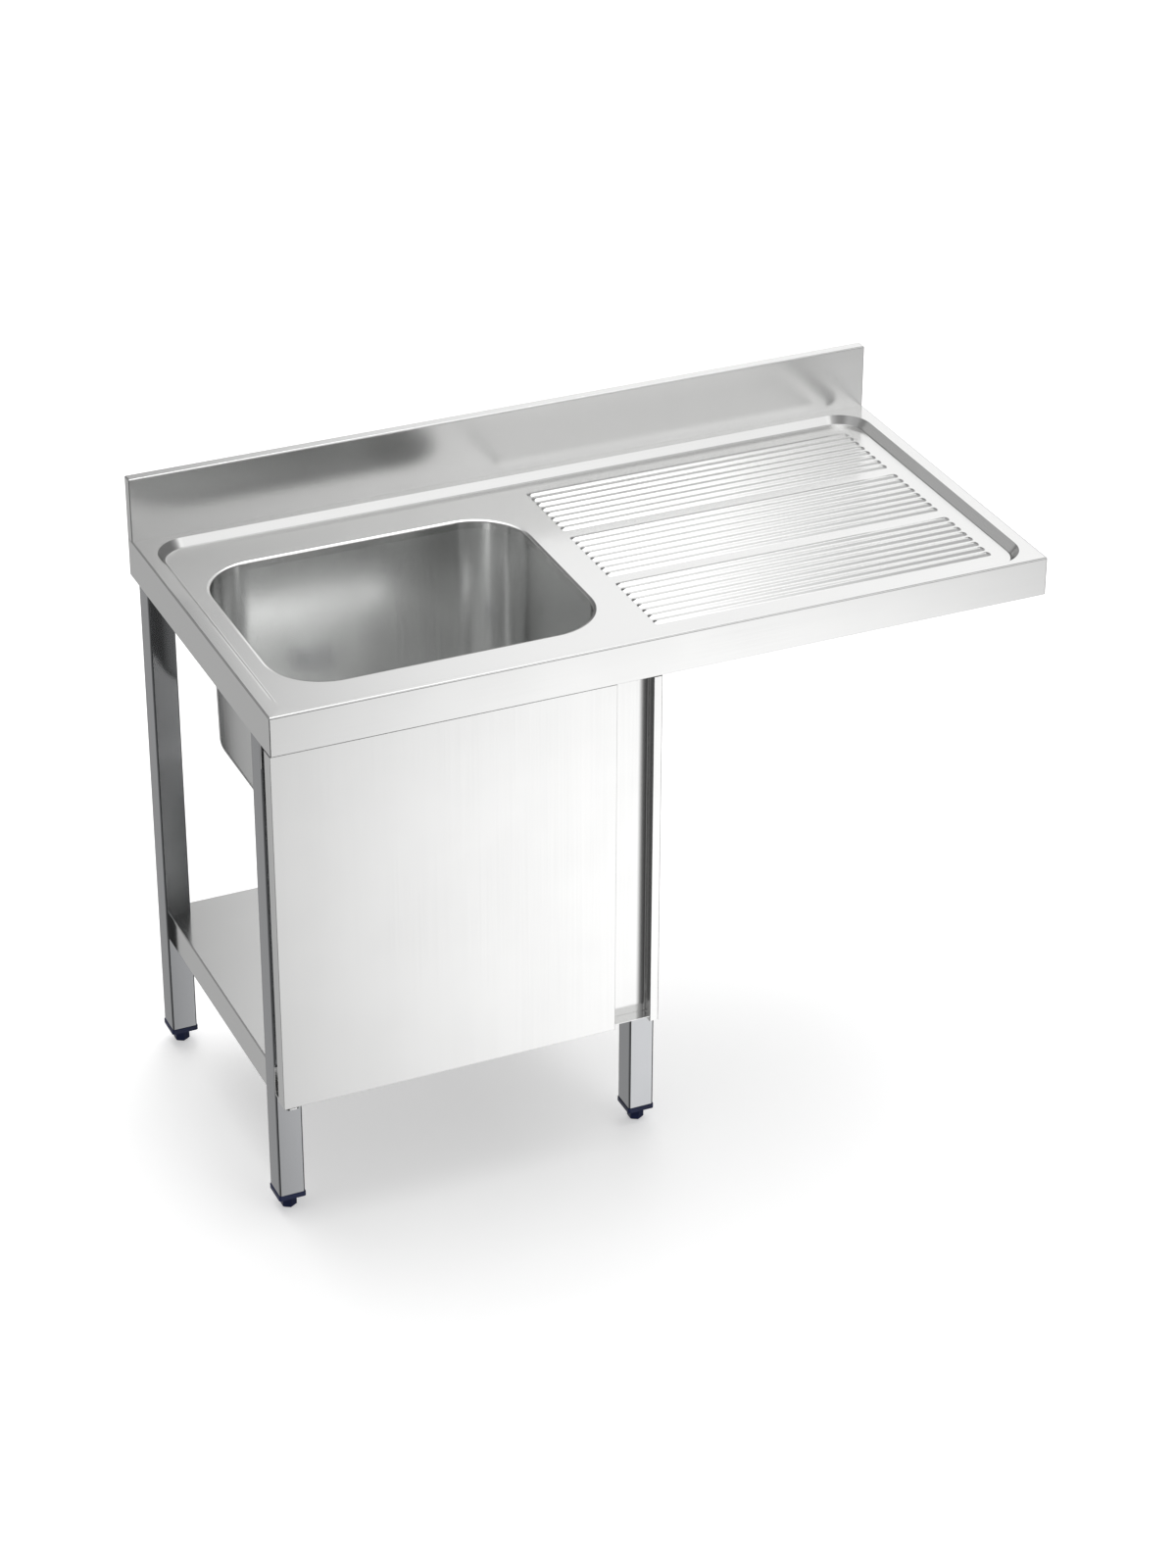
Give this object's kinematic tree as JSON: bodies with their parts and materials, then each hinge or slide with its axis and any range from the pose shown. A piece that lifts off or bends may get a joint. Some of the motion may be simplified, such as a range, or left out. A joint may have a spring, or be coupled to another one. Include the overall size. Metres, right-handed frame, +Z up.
{
  "type": "sink unit",
  "caption": "Free-standing stainless steel sink unit: bowl with swing-door cupboard frame and shelf, beaded drainer overhanging an open appliance bay, upstand at the back.",
  "frame": {"origin": "on the floor under the middle of the overall box", "axes": "+X along the length to the drainer's end, +Y to the wall side, +Z up; the door faces -Y"},
  "size_m": [1.2, 0.6, 0.955],
  "materials": {
    "brushed_stainless": "satin brushed along the length",
    "polished_stainless": "bright polished",
    "drawn_stainless": "satin, brushed round the walls",
    "zinc_plate": "bright zinc plate",
    "navy_plastic": "moulded, slightly textured",
    "pale_grey_plastic": "moulded",
    "black_rubber": "matt"
  },
  "bodies": {
    "unit": {"bowl": "drawn_stainless", "end_cross_rail": "brushed_stainless", "front_left_leg": "polished_stainless", "front_left_leg_cap": "navy_plastic", "front_rail": "brushed_stainless", "front_right_leg": "polished_stainless", "front_right_leg_cap": "navy_plastic", "jamb": "brushed_stainless", "left_cross_rail": "brushed_stainless", "lower_hinge_bracket": "brushed_stainless", "lower_hinge_pin": "zinc_plate", "magnet_catch": "pale_grey_plastic", "middle_cross_rail": "brushed_stainless", "pocket_floor": "brushed_stainless", "rear_left_leg": "polished_stainless", "rear_left_leg_cap": "navy_plastic", "rear_rail": "brushed_stainless", "rear_right_leg": "polished_stainless", "rear_right_leg_cap": "navy_plastic", "shelf": "brushed_stainless", "shelf_stiffener": "brushed_stainless", "splashback": "brushed_stainless", "upper_hinge_bracket": "brushed_stainless", "upper_hinge_pin": "zinc_plate", "waste_gasket": "black_rubber", "waste_nut": "pale_grey_plastic", "waste_strainer": "polished_stainless", "waste_tail": "polished_stainless", "worktop": "brushed_stainless"},
    "door": {"door_outer": "brushed_stainless", "door_inner": "brushed_stainless", "lower_hinge_bush": "pale_grey_plastic", "upper_hinge_bush": "pale_grey_plastic", "catch_strike": "zinc_plate"},
    "front_left_foot_body": {"front_left_foot": "navy_plastic"},
    "front_right_foot_body": {"front_right_foot": "navy_plastic"},
    "rear_left_foot_body": {"rear_left_foot": "navy_plastic"},
    "rear_right_foot_body": {"rear_right_foot": "navy_plastic"}
  },
  "joints": [
    {"name": "door_swing", "type": "hinge", "parent": "unit", "child": "door", "pos_m": [-0.586, -0.285, 0.5], "axis": [0, 0, -1], "range_deg": [0, 110]},
    {"name": "front_left_foot_screw", "type": "slide", "parent": "unit", "child": "front_left_foot_body", "axis": [0, 0, -1], "range_m": [0, 0.025]},
    {"name": "front_right_foot_screw", "type": "slide", "parent": "unit", "child": "front_right_foot_body", "axis": [0, 0, -1], "range_m": [0, 0.025]},
    {"name": "rear_left_foot_screw", "type": "slide", "parent": "unit", "child": "rear_left_foot_body", "axis": [0, 0, -1], "range_m": [0, 0.025]},
    {"name": "rear_right_foot_screw", "type": "slide", "parent": "unit", "child": "rear_right_foot_body", "axis": [0, 0, -1], "range_m": [0, 0.025]}
  ]
}
